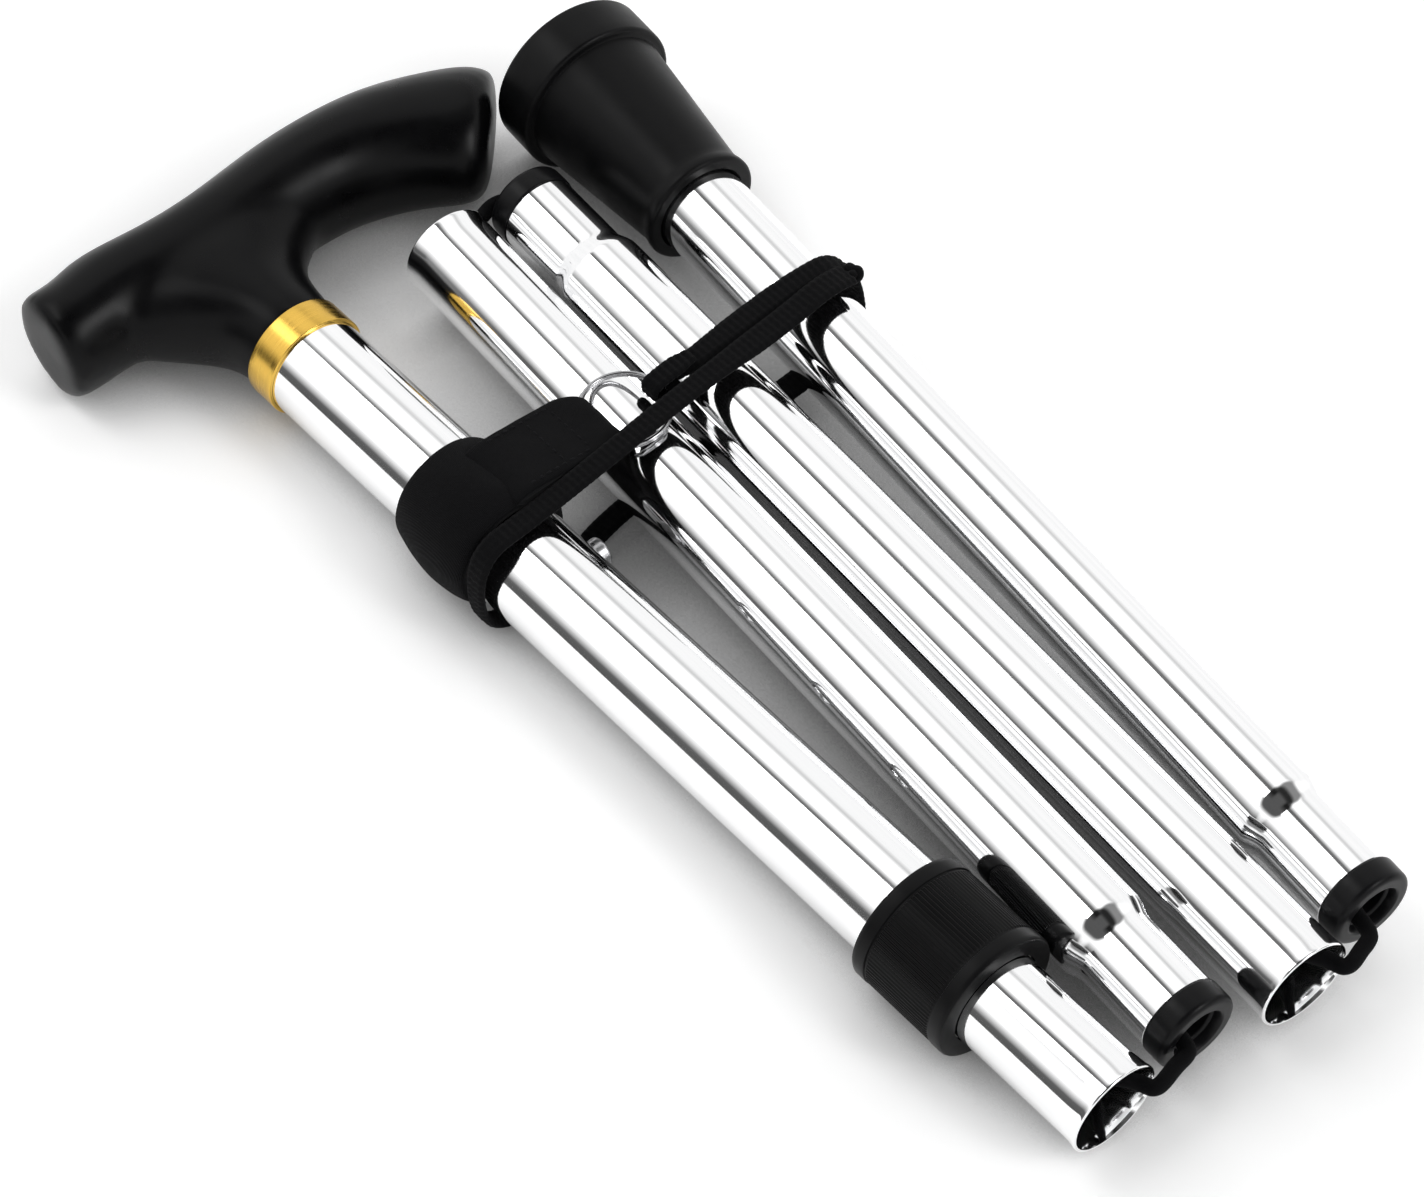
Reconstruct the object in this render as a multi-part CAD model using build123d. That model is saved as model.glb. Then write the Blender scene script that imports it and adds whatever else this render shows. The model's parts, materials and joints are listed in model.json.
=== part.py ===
"""Folding walking cane, lying folded in its strap.

Four tube sections lie side by side in one plane that leans a little from the floor. The handle section's axis
is the X axis of that plane, with x = 0 at the front rim of the collar ring. Lengths are in millimetres.
"""

from build123d import *
from math import atan2, cos, degrees, pi, radians, sin
import os

os.makedirs("parts", exist_ok=True)

# Tubes
outer_radius = 11.0            # handle section's outer tube
outer_wall = 1.1
inner_radius = 9.8             # inner tube and the three folding sections
inner_wall = 0.8
outer_tube_end = 190.0         # x where the outer tube ends, inside the lock collar
inner_tube_start = 50.0        # x of the inner tube's hidden end
inner_tube_mouth = 230.2       # x of the inner tube's open mouth
middle_extra = (5.78, 10.84)   # a middle section is this much longer, from end ring's face to mouth
tip_extra = 30.32              # and the tip section, from end ring's face to the ferrule's tread

# Swaged neck and rolled mouth of a folding section
neck_radius = 8.6
neck_end = 22.5                # from the end ring's face to where the shoulder starts
shoulder_length = 5.0
mouth_flare = 0.3
mouth_bore_flare = 0.35
flare_length = 4.0

# End ring, a moulded plug with a bore for the elastic cord
ring_radius = 8.85
ring_width = 5.5
ring_bore = 4.6
ring_spigot_length = 8.0
spigot_clearance = 0.05

# Folds: half the spacing of the two axes, setbacks of mouth and ring face from the pivot, fan angle
fold_half_spacing = (10.846, 10.166, 10.071)
fold_mouth_setback = (0.5, 0.9, 0.6)
fold_ring_setback = (2.148, -0.024, 4.782)
fold_fan_angles = (4.1872, 0.3573, 1.7984)
plug_depth = 24.5              # how far a neck goes into a mouth

# Handle
collar_width = 7.2
collar_thickness = 0.7
collar_clearance = 0.05
stem_radius = 11.3
handle_spigot_length = 30.0
nose_edge_radius = 1.2

# Twist lock
lock_start = 175.4
lock_length = 23.8
lock_radius = 14.0
lock_lip = 3.4
lock_lip_wall = 0.9
knurl_count = 56
knurl_depth = 0.35
knurl_relief = 0.1
lock_clearance = 0.1
bush_radius = 12.3
bush_length = 8.0

# Snap button and its leaf spring, on the side that faces the next section
button_station = 74.0
button_radius = 3.1
button_hole_clearance = 0.2
button_height = 2.2            # above the outer tube
button_dome = 0.8
hole_pitch = 25.0
hole_count = 4
leaf_thickness = 0.6
leaf_width = 6.0
leaf_length = 44.0
leaf_lead = 8.0
leaf_bend_radius = 5.0
leaf_wall_gap = 0.7

# Elastic cord and its anchors
elastic_radius = 1.4
elastic_inset = 14.0
elastic_play = 0.4             # each side of the joint between a strand and a bend
elastic_lead = 2.6
elastic_bend_radius = 4.5
elastic_wall_gap = 0.7
anchor_length = 8.0
anchor_clearance = 0.1
upper_anchor_station = 122.0
lower_anchor_inset = 16.0      # from the tip section's tube end to its anchor

# Ferrule
ferrule_height = 48.7
ferrule_base_radius = 18.2
ferrule_base_height = 11.0
ferrule_step = 2.0              # from the base's edge in to the body
ferrule_body_radius = ferrule_base_radius - ferrule_step
ferrule_mouth_radius = 12.7
ferrule_lip_radius = 13.4
ferrule_lip_height = 3.0
ferrule_step_fillet = 1.0
ferrule_floor = 9.0
ferrule_clearance = 0.05
tread_groove_depth = 1.4
tread_groove_width = 1.6
tread_groove_radii = (6.0, 10.5, 15.0)
washer_thickness = 1.5
washer_radius = 9.4

# Strap: a sleeve round the outer tube with a flap that ends in a loop for the split ring
sleeve_start = 41.5
sleeve_width = 21.5
sleeve_clearance = 0.1
sleeve_outer_radius = 14.2
sleeve_offset = (-0.6, 0.9)    # the sleeve is thicker at its top and outer side
flap_start = 46.5
flap_thickness = 3.6
flap_edge = 2.0                # from the sleeve's axis to the flap's hidden edge
flap_fold = 6.5                # and to where the flap starts to slope down
flap_rise = (0.9, 0.3)         # its height above the sleeve at those two places
loop_half_width = 6.0
loop_wall = 1.15
split_ring_radius = 9.2
split_ring_wire = 0.75
split_ring_rest = 0.3          # above the tube that it lies on
split_ring_station = 57.5
loop_play = 0.3
seam_gap = 0.05

# Wrist cord, a flat braid
cord_width = 5.2
cord_thickness = 1.8
cord_clearance = 0.35
hitch_radius = 2.6
hitch_bore = 1.3
knot_radius = 3.4
knot_gap = 0.4

tip_section_length = inner_tube_mouth + tip_extra
section_lengths = (
    inner_tube_mouth + middle_extra[0],
    inner_tube_mouth + middle_extra[1],
    tip_section_length,
)
parts = {}


def unit(angle):
    """Unit vector of the cane's plane at an angle in degrees."""
    return Vector(cos(radians(angle)), sin(radians(angle)))


def lathe(*edges):
    """Solid of revolution about X from closed outline edges given as x and radius."""
    return revolve(make_face(Wire(list(edges))), Axis.X)


def turned(points):
    """Solid of revolution about X from a closed polygon of x and radius."""
    return revolve(make_face(Polyline(*points, close=True)), Axis.X)


def bar(start, length, radius):
    """Cylinder along X from start."""
    return Pos(start, 0, 0) * extrude(Plane.YZ * Circle(radius), length)


def ring(start, length, outer, inner):
    """Round tube along X from start."""
    return Pos(start, 0, 0) * extrude(Plane.YZ * (Circle(outer) - Circle(inner)), length)


def mouth_edges(end):
    """Outline of a rolled mouth at x = end, from the outer wall round to the bore."""
    start = end - flare_length
    bore = inner_radius - inner_wall
    outside = Spline((start, inner_radius), (end, inner_radius + mouth_flare), tangents=((1, 0), (1, 0.2)))
    inside = Spline((end, bore + mouth_bore_flare), (start, bore), tangents=((-1, -0.2), (-1, 0)))
    lip = Line(outside @ 1, inside @ 0)
    return [outside, lip, inside]


def neck_edges():
    """Outline of a swaged neck, from the bore of the tube round to its outer wall."""
    full = neck_end + shoulder_length
    bore = inner_radius - inner_wall
    neck_bore = neck_radius - inner_wall
    inside = Spline((full, bore), (neck_end, neck_bore), tangents=((-1, 0), (-1, 0)))
    outside = Spline((neck_end, neck_radius), (full, inner_radius), tangents=((1, 0), (1, 0)))
    return [
        inside,
        Line((neck_end, neck_bore), (ring_width, neck_bore)),
        Line((ring_width, neck_bore), (ring_width, neck_radius)),
        Line((ring_width, neck_radius), (neck_end, neck_radius)),
        outside,
    ]


def folding_tube(end, flared):
    """Tube of a folding section along +X, its neck behind the end ring and its far end at x = end."""
    full = neck_end + shoulder_length
    bore = inner_radius - inner_wall
    if flared:
        far = mouth_edges(end)
        straight = end - flare_length
    else:
        far = [Line((end, inner_radius), (end, bore))]
        straight = end
    return lathe(
        *neck_edges(),
        Line((full, inner_radius), (straight, inner_radius)),
        *far,
        Line((straight, bore), (full, bore)),
    )


def end_ring():
    """Plug that closes a neck and leads the elastic cord out of it."""
    spigot = neck_radius - inner_wall - spigot_clearance
    body = bar(0, ring_width, ring_radius) + bar(ring_width, ring_spigot_length, spigot)
    body -= bar(-1, ring_width + ring_spigot_length + 2, ring_bore)
    rims = body.edges().filter_by(GeomType.CIRCLE).filter_by(lambda e: e.center().X < 0.01)
    return fillet(rims, 0.8)


# The folded layout, in the cane's plane: each fold leads from a mouth to the next section's end ring
def fold_layout():
    """Pivot, heading and ring face of each folding section, and the mouth that leads to it."""
    mouth, heading, side = Vector(inner_tube_mouth, 0), 0.0, 1
    folds = []
    for half, mouth_gap, ring_gap, fan, length in zip(
        fold_half_spacing, fold_mouth_setback, fold_ring_setback, fold_fan_angles, section_lengths
    ):
        pivot = mouth + unit(heading) * mouth_gap + unit(heading + 90) * (side * half)
        turned_heading = heading + side * (180 - fan)
        ring_face = pivot - unit(turned_heading + 90) * (side * half) + unit(turned_heading) * ring_gap
        folds.append(
            {
                "mouth": mouth,
                "pivot": pivot,
                "side": side,
                "from": heading,
                "heading": turned_heading,
                "ring_face": ring_face,
                "travel": plug_depth + mouth_gap + ring_gap,
            }
        )
        mouth = ring_face + unit(turned_heading) * length
        heading, side = turned_heading, -side
    return folds


folds = fold_layout()
tip_face = folds[2]["ring_face"] + unit(folds[2]["heading"]) * tip_section_length
axis_height = lock_radius      # the lock collar rests on the floor
base_centre = tip_face - unit(folds[2]["heading"]) * (ferrule_base_height / 2)
lean = degrees(atan2(ferrule_base_radius - lock_radius, base_centre.Y))


def level(shape):
    """Raise a piece of the handle to the height of the outer tube's axis."""
    return Pos(0, 0, axis_height) * shape


def leaned(shape):
    """Place a piece of the cane's plane, which leans about the outer tube's axis."""
    return Pos(0, 0, axis_height) * Rot(lean, 0, 0) * shape


def in_section(number, shape):
    """Place a piece made along +X from its end ring's face into folding section 0, 1 or 2."""
    fold = folds[number]
    face = fold["ring_face"]
    return leaned(Pos(face.X, face.Y, 0) * Rot(0, 0, fold["heading"]) * shape)


# Handle: oval sections along the grip, and along the stem that meets it
grip_sections = (
    # x, y, heading, half width in the plane, half height
    (-39.4, -38.3, 87, 11.6, 12.0),
    (-39.6, -25.0, 89, 11.7, 12.8),
    (-38.9, -9.0, 92, 11.4, 13.2),
    (-38.9, 8.0, 93, 11.4, 13.5),
    (-40.1, 22.0, 91, 11.8, 13.6),
    (-39.8, 35.8, 82, 12.6, 13.6),
    (-36.9, 48.4, 70, 14.2, 13.4),
    (-32.0, 58.8, 56, 15.6, 13.0),
    (-27.9, 65.0, 47, 15.7, 12.4),
    (-26.6, 66.5, 45, 14.9, 11.6),
    (-25.9, 67.3, 45, 13.0, 9.8),
    (-25.6, 67.6, 45, 9.6, 6.6),
)
stem_sections = (
    # x, lower y, upper y, half height
    (-12.5, -11.4, 11.7, 11.4),
    (-17.0, -13.8, 12.6, 11.7),
    (-21.5, -18.0, 14.9, 12.0),
    (-26.0, -23.0, 20.0, 12.3),
    (-31.0, -27.5, 27.0, 12.4),
    (-37.0, -28.5, 28.5, 11.6),
)


def oval(half_width, half_height):
    return Ellipse(half_width, half_height)


def make_handle():
    grip_faces = []
    for x, y, heading, half_width, half_height in grip_sections:
        plane = Plane(origin=(x, y, 0), x_dir=unit(heading - 90), z_dir=unit(heading))
        grip_faces.append(plane * oval(half_width, half_height))
    grip = loft(grip_faces)
    face_x = -collar_width
    stem_faces = [Plane(origin=(face_x, 0, 0), x_dir=(0, 1, 0), z_dir=(-1, 0, 0)) * Circle(stem_radius)]
    for x, low, high, half_height in stem_sections:
        plane = Plane(origin=(x, (low + high) / 2, 0), x_dir=(0, 1, 0), z_dir=(-1, 0, 0))
        stem_faces.append(plane * oval((high - low) / 2, half_height))
    stem = loft(stem_faces)
    spigot = bar(face_x, handle_spigot_length, outer_radius - outer_wall - spigot_clearance)
    body = grip + stem
    nose = body.edges().sort_by(Axis.Y)[0]
    body = fillet(nose, nose_edge_radius)
    return body + spigot


def make_outer_tube():
    tube = ring(-collar_width, outer_tube_end + collar_width, outer_radius, outer_radius - outer_wall)
    for index in range(hole_count):
        station = button_station + index * hole_pitch
        tube -= button_hole(station, outer_radius)
    return tube


def button_hole(station, radius):
    """Cutter for the snap button's hole, through the wall on the +Y side."""
    cutter = Circle(button_radius + button_hole_clearance)
    plane = Plane(origin=(station, 0, 0), x_dir=(1, 0, 0), z_dir=(0, 1, 0))
    return extrude(plane * cutter, radius + 1)


def make_inner_tube():
    bore = inner_radius - inner_wall
    straight = inner_tube_mouth - flare_length
    tube = lathe(
        Line((inner_tube_start, bore), (inner_tube_start, inner_radius)),
        Line((inner_tube_start, inner_radius), (straight, inner_radius)),
        *mouth_edges(inner_tube_mouth),
        Line((straight, bore), (inner_tube_start, bore)),
    )
    return tube - button_hole(button_station, inner_radius)


def make_lock_bush():
    """Split collet that the lock collar squeezes onto the inner tube."""
    end = outer_tube_end + bush_length
    bore = inner_radius + lock_clearance
    body = turned(
        [
            (outer_tube_end, bore),
            (outer_tube_end, outer_radius),
            (outer_tube_end + 2, bush_radius),
            (end - 1, bush_radius - 0.9),
            (end, bush_radius - 1.4),
            (end, bore),
        ]
    )
    for angle in (0, 60, 120):
        slit = Box(bush_length, 3 * bush_radius, 1.0)
        body -= Pos(end - bush_length / 2 + 3, 0, 0) * Rot(angle, 0, 0) * slit
    return body


def make_lock_collar():
    """Knurled nut with a plain lip at each end, hollow round the outer tube and the collet."""
    end = lock_start + lock_length
    grip_length = lock_length - 2 * lock_lip
    knurl_points = []
    for index in range(2 * knurl_count):
        angle = pi * index / knurl_count
        radius = lock_radius - knurl_relief - knurl_depth * (index % 2)
        knurl_points.append((radius * cos(angle), radius * sin(angle)))
    knurled = Plane.YZ * make_face(Polyline(*knurl_points, close=True))
    body = Pos(lock_start + lock_lip, 0, 0) * extrude(knurled, grip_length)
    for start in (lock_start, end - lock_lip):
        lip = bar(start, lock_lip, lock_radius)
        body += chamfer(lip.edges().filter_by(GeomType.CIRCLE), 0.5)
    seat = outer_tube_end - lock_clearance
    cavity_end = outer_tube_end + bush_length + lock_clearance
    body -= bar(lock_start - 1, seat - lock_start + 1, outer_radius + lock_clearance)
    body -= bar(seat, cavity_end - seat, bush_radius + lock_clearance)
    return body - bar(cavity_end - 1, end - cavity_end + 2, inner_radius + 2 * lock_clearance)


leaf_height = inner_radius - inner_wall - leaf_wall_gap   # outer face of the leaf spring's legs


def make_snap_spring():
    """Leaf spring bent to a U inside the inner tube."""
    middle = leaf_height - leaf_thickness / 2
    start = button_station - leaf_lead
    path = FilletPolyline(
        (start, middle), (start + leaf_length, middle),
        (start + leaf_length, -middle), (start + leaf_lead, -middle),
        radius=leaf_bend_radius,
    )
    return extrude(trace(path, leaf_thickness), leaf_width / 2, both=True)


def make_snap_button():
    plane = Plane(origin=(button_station, leaf_height, 0), x_dir=(1, 0, 0), z_dir=(0, 1, 0))
    stud = extrude(plane * Circle(button_radius), outer_radius + button_height - leaf_height)
    crown = stud.edges().filter_by(GeomType.CIRCLE).sort_by(Axis.Y)[-1]
    return fillet(crown, button_dome)


button_travel = button_height + outer_wall + leaf_thickness / 2 - 0.2


def make_anchor():
    """Plug that the end of the elastic cord is fixed to."""
    plug = bar(0, anchor_length, inner_radius - inner_wall - anchor_clearance)
    return chamfer(plug.edges().filter_by(GeomType.CIRCLE), 0.8)


def make_elastic_bend(fold):
    """Elastic cord that turns from one section's mouth into the next section's end ring."""
    here, there, side = fold["from"], fold["heading"], fold["side"]
    bore = inner_radius - inner_wall
    mouth_offset = bore - elastic_radius - elastic_wall_gap
    ring_offset = ring_bore - elastic_radius - elastic_wall_gap / 3
    reach = elastic_lead + ring_bore / 2
    start = fold["mouth"] - unit(here) * (elastic_inset - elastic_play)
    first = fold["mouth"] + unit(here) * elastic_lead + unit(here + 90) * (side * mouth_offset)
    second = fold["ring_face"] - unit(there) * reach + unit(there + 90) * (side * ring_offset)
    end = fold["ring_face"] + unit(there) * (elastic_inset - elastic_play)
    path = FilletPolyline(start, first, second, end, radius=elastic_bend_radius)
    section = Plane(origin=path @ 0, z_dir=path % 0) * Circle(elastic_radius)
    return sweep(section, path)


def make_ferrule():
    """Rubber tip along +X from its mouth, with a stepped base and a grooved tread."""
    mouth_x = tip_section_length - ferrule_height
    step_x = tip_section_length - ferrule_base_height
    bore = inner_radius + ferrule_clearance
    floor_x = tip_section_length - ferrule_floor
    body = turned(
        [
            (mouth_x, bore),
            (mouth_x, ferrule_lip_radius),
            (mouth_x + ferrule_lip_height, ferrule_mouth_radius),
            (step_x, ferrule_body_radius),
            (step_x, ferrule_base_radius),
            (tip_section_length, ferrule_base_radius),
            (tip_section_length, 0),
            (floor_x, 0),
            (floor_x, bore),
        ]
    )
    rims = body.edges().filter_by(GeomType.CIRCLE).filter_by(lambda e: e.radius > ferrule_base_radius - 0.1)
    body = fillet(rims, ferrule_step_fillet)
    for radius in tread_groove_radii:
        start = tip_section_length - tread_groove_depth
        body -= ring(start, tread_groove_depth + 1, radius + tread_groove_width, radius)
    return body


tip_tube_end = tip_section_length - ferrule_floor - washer_thickness


def ring_centre():
    """Centre of the split ring, which lies on the first folding section."""
    face, heading = folds[0]["ring_face"], folds[0]["heading"]
    along = (split_ring_station - face.X) / cos(radians(heading))
    crown = face + unit(heading) * along
    return Vector(split_ring_station, crown.Y - 0.9, inner_radius + split_ring_rest + split_ring_wire)


ring_middle = ring_centre()


def make_sleeve():
    """Fabric sleeve round the outer tube, eccentric so that it is thicker where the loop is sewn on."""
    outside = Circle(sleeve_outer_radius).moved(Location((*sleeve_offset, 0)))
    band = extrude(Plane.YZ * (outside - Circle(outer_radius + sleeve_clearance)), sleeve_width)
    return Pos(sleeve_start, 0, 0) * band


def make_strap_loop():
    """Flap sewn to the sleeve, ending in the loop that holds the split ring."""
    slot_half = split_ring_wire + loop_play
    near = ring_middle.Y - split_ring_radius - slot_half
    far = ring_middle.Y - (split_ring_radius**2 - loop_half_width**2) ** 0.5 + slot_half
    low, high = ring_middle.Z - slot_half, ring_middle.Z + slot_half
    root = sleeve_outer_radius + sleeve_offset[1]
    flap = Polyline(
        (flap_edge, root - flap_thickness),
        (flap_edge, root + flap_rise[0]),
        (flap_fold, root + flap_rise[1]),
        (near - loop_wall, high + loop_wall),
        (near - loop_wall, low - loop_wall),
        (outer_radius + 2.0, low - loop_wall - 1.0),
        close=True,
    )
    flap_width = sleeve_start + sleeve_width - flap_start
    flap_body = Pos(flap_start, 0, 0) * extrude(Plane.YZ * make_face(flap), flap_width)
    outside = Rectangle(far - near + 2 * loop_wall, 2 * (slot_half + loop_wall))
    outside = fillet(outside.vertices(), slot_half)
    slot = Rectangle(far - near, 2 * slot_half)
    loop = (outside - slot).moved(Location(((near + far) / 2, ring_middle.Z, 0)))
    loop_body = extrude(Plane.YZ * loop, loop_half_width - 0.3, both=True)
    sleeve_space = Pos(0, *sleeve_offset) * bar(sleeve_start - 1, sleeve_width + 2, sleeve_outer_radius + seam_gap)
    return flap_body + Pos(split_ring_station, 0, 0) * loop_body - sleeve_space


def make_split_ring():
    return Pos(*ring_middle) * Torus(split_ring_radius, split_ring_wire)


def make_hitch():
    """Stitched end of the wrist cord, round the split ring."""
    centre = ring_middle + Vector(0, split_ring_radius, 0)
    plane = Plane(origin=centre, x_dir=(0, 1, 0), z_dir=(1, 0, 0))
    return extrude(plane * (Circle(hitch_radius) - Circle(hitch_bore)), cord_width / 2, both=True)


# Wrist cord: from the split ring over two sections, round the last one, back under all four, round the outer
# tube and over all four again. The points are chosen by hand, in the cane's plane.
cord_route = (
    (57.5, 46.0, 11.3),
    (56.6, 92.7, 11.9),
    (60.9, 92.7, -11.9),
    (67.0, -13.1, -12.5),
    (66.8, -13.1, 13.1),
    (66.6, 24.0, 14.1),
    (66.2, 45.0, 13.9),
    (63.8, 73.0, 13.2),
    (62.0, 86.0, 15.0),
)
cord_wrap_radii = (11.4, 11.4, 12.2, 12.2)


def cord_radii():
    """Arc radii of the cord's corners: the wraps first, then as large as the runs allow."""
    radii = list(cord_wrap_radii)
    points = [Vector(*p) for p in cord_route]
    for index in range(len(cord_wrap_radii) + 1, len(points) - 1):
        before, after = points[index] - points[index - 1], points[index + 1] - points[index]
        half_turn = radians(before.get_angle(after)) / 2
        radii.append(0.45 * min(before.length, after.length) * cos(half_turn) / sin(half_turn))
    return radii


def make_wrist_cord():
    path = FilletPolyline(*cord_route, radius=cord_radii())
    plane = Plane(origin=path @ 0, x_dir=(1, 0, 0), z_dir=path % 0)
    section = plane * SlotOverall(cord_width, cord_thickness)
    return sweep(section, path), path


def make_knot(path):
    return Pos(*(path @ 1 + (path % 1) * (knot_radius + knot_gap))) * Sphere(knot_radius)


bore_radius = inner_radius - inner_wall
parts["handle"] = level(make_handle())
parts["collar_ring"] = level(
    ring(-collar_width, collar_width, outer_radius + collar_clearance + collar_thickness,
         outer_radius + collar_clearance)
)
parts["outer_tube"] = leaned(make_outer_tube())
parts["lock_bush"] = leaned(make_lock_bush())
parts["lock_collar"] = leaned(make_lock_collar())
parts["inner_tube"] = leaned(make_inner_tube())
parts["snap_spring"] = leaned(make_snap_spring())
parts["snap_button"] = leaned(make_snap_button())
parts["upper_anchor"] = leaned(Pos(upper_anchor_station, 0, 0) * make_anchor())
strand_start = upper_anchor_station + anchor_length
parts["elastic_inner"] = leaned(
    bar(strand_start, inner_tube_mouth - elastic_inset - elastic_play - strand_start, elastic_radius)
)
for number, name in enumerate(("middle_tube_1", "middle_tube_2")):
    parts[name] = in_section(number, folding_tube(section_lengths[number], flared=True))
parts["tip_tube"] = in_section(2, folding_tube(tip_tube_end, flared=False))
for number in range(3):
    parts[f"end_ring_{number + 1}"] = in_section(number, end_ring())
    parts[f"elastic_bend_{number + 1}"] = leaned(make_elastic_bend(folds[number]))
strand_inset = elastic_inset + elastic_play
for number in range(2):
    strand_length = section_lengths[number] - 2 * strand_inset
    parts[f"elastic_{number + 1}"] = in_section(number, bar(strand_inset, strand_length, elastic_radius))
lower_anchor_station = tip_tube_end - lower_anchor_inset
parts["elastic_3"] = in_section(2, bar(strand_inset, lower_anchor_station - strand_inset, elastic_radius))
parts["lower_anchor"] = in_section(2, Pos(lower_anchor_station, 0, 0) * make_anchor())
parts["tip_washer"] = in_section(2, bar(tip_tube_end, washer_thickness, washer_radius))
parts["ferrule"] = in_section(2, make_ferrule())
parts["strap_sleeve"] = leaned(make_sleeve())
parts["strap_loop"] = leaned(make_strap_loop())
parts["split_ring"] = leaned(make_split_ring())
parts["cord_hitch"] = leaned(make_hitch())
cord_body, cord_path = make_wrist_cord()
parts["wrist_cord"] = leaned(cord_body)
parts["cord_knot"] = leaned(make_knot(cord_path))

# The origin is on the floor under the middle of the cane, without its wrist cord
cord_names = ("cord_hitch", "wrist_cord", "cord_knot")
boxes = [shape.bounding_box() for name, shape in parts.items() if name not in cord_names]
origin = Vector(
    (min(b.min.X for b in boxes) + max(b.max.X for b in boxes)) / 2,
    (min(b.min.Y for b in boxes) + max(b.max.Y for b in boxes)) / 2,
    min(b.min.Z for b in boxes),
)
for name, shape in parts.items():
    export_step(Pos(-origin) * shape, f"parts/{name}.step")

cord_section = cord_width * cord_thickness - (1 - pi / 4) * cord_thickness**2
print("cord radii", [round(r, 1) for r in cord_radii()], "length", round(cord_path.length, 1))
print("cord volume", round(cord_body.volume), "section times length", round(cord_section * cord_path.length))
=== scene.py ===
"""Folding walking cane, folded in its strap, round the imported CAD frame. Tables are in millimetres."""
import json
import math

import bmesh
import bpy
from mathutils import Matrix, Vector, noise


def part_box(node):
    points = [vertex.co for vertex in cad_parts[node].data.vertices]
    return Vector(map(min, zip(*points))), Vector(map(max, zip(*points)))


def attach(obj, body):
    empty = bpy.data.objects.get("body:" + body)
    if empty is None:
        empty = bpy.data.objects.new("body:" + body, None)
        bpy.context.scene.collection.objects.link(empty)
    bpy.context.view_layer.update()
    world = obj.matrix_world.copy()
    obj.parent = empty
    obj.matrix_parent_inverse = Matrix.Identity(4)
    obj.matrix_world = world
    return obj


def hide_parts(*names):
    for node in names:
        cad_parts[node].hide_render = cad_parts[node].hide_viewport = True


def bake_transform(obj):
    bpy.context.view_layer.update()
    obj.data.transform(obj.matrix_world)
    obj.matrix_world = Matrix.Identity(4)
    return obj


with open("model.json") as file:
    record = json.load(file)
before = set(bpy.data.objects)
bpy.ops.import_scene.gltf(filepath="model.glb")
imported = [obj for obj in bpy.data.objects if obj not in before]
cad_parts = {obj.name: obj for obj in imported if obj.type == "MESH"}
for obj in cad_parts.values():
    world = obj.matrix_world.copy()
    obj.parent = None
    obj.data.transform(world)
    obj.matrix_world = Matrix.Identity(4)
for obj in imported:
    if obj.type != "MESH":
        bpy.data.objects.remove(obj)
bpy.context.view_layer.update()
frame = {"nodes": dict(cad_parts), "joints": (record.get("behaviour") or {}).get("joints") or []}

MM = 0.001
NODES = frame["nodes"]
JOINTS = {j["name"]: j for j in frame["joints"]}
SECTION_BODIES = ("section_b", "section_c", "section_d")

# ---------------------------------------------------------------- layout, from the frame
FOLD_AXIS = Vector(JOINTS["fold_2"]["axis"])               # normal of the plane the tubes lie in
LEAN = math.atan2(-FOLD_AXIS.y, FOLD_AXIS.z)
OUTER_LOW, OUTER_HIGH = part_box("outer_tube")
COLLAR_WIDTH = 7.2
ORIGIN = Vector((                                          # on the outer tube's axis, at the collar ring's rim
    OUTER_LOW.x + COLLAR_WIDTH * MM, (OUTER_LOW.y + OUTER_HIGH.y) / 2, (OUTER_LOW.z + OUTER_HIGH.z) / 2,
))
LEVEL = Matrix.Translation(ORIGIN)
PLANE = LEVEL @ Matrix.Rotation(LEAN, 4, "X")
PLANE_BACK = PLANE.inverted()


def P(x, y, z=0.0):
    """Point of the cane's plane, in millimetres, as a point of the row frame."""
    return PLANE @ Vector((x * MM, y * MM, z * MM))


def clamp(t):
    return min(1.0, max(0.0, t))


def smoothstep(t):
    return t * t * (3 - 2 * t)


def axes_at(place, x, y, z):
    """Matrix with three axes, at a place."""
    m = Matrix((x, y, z)).transposed().to_4x4()
    m.translation = place
    return m


# Folding sections: half the spacing of the two axes at the fold, and the end ring's setback from the pivot
FOLD_HALF = (10.846, 10.166, 10.071)
RING_SETBACK = (2.148, -0.024, 4.782)
INNER_MOUTH = 230.2
SECTION_LENGTHS = (INNER_MOUTH + 5.78, INNER_MOUTH + 10.84)
TIP_LENGTH = INNER_MOUTH + 30.32


def fold_side(number):
    """Side of the section before on which a fold turns: the folds go to and fro."""
    return 1 if number % 2 == 0 else -1


def section_frame(number):
    """Matrix whose +X runs from the end ring's face of folding section 0, 1 or 2 along its axis."""
    heading = -Vector(JOINTS[f"plug_{number + 1}"]["axis"]).normalized()
    up = FOLD_AXIS.normalized()
    across = up.cross(heading).normalized()
    pivot = Vector(JOINTS[f"fold_{number + 1}"]["pos_m"])
    face = pivot - across * (fold_side(number) * FOLD_HALF[number] * MM) + heading * (RING_SETBACK[number] * MM)
    return axes_at(face, heading, across, up)


SECTIONS = [section_frame(n) for n in range(3)]
# The section before each fold: its frame, the place of its mouth and its body
BEFORE = (
    (PLANE, INNER_MOUTH, "inner_section"),
    (SECTIONS[0], SECTION_LENGTHS[0], "section_b"),
    (SECTIONS[1], SECTION_LENGTHS[1], "section_c"),
)


def link(name, data):
    """New object for some data, in the scene."""
    obj = bpy.data.objects.new(name, data)
    bpy.context.scene.collection.objects.link(obj)
    return obj


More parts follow.
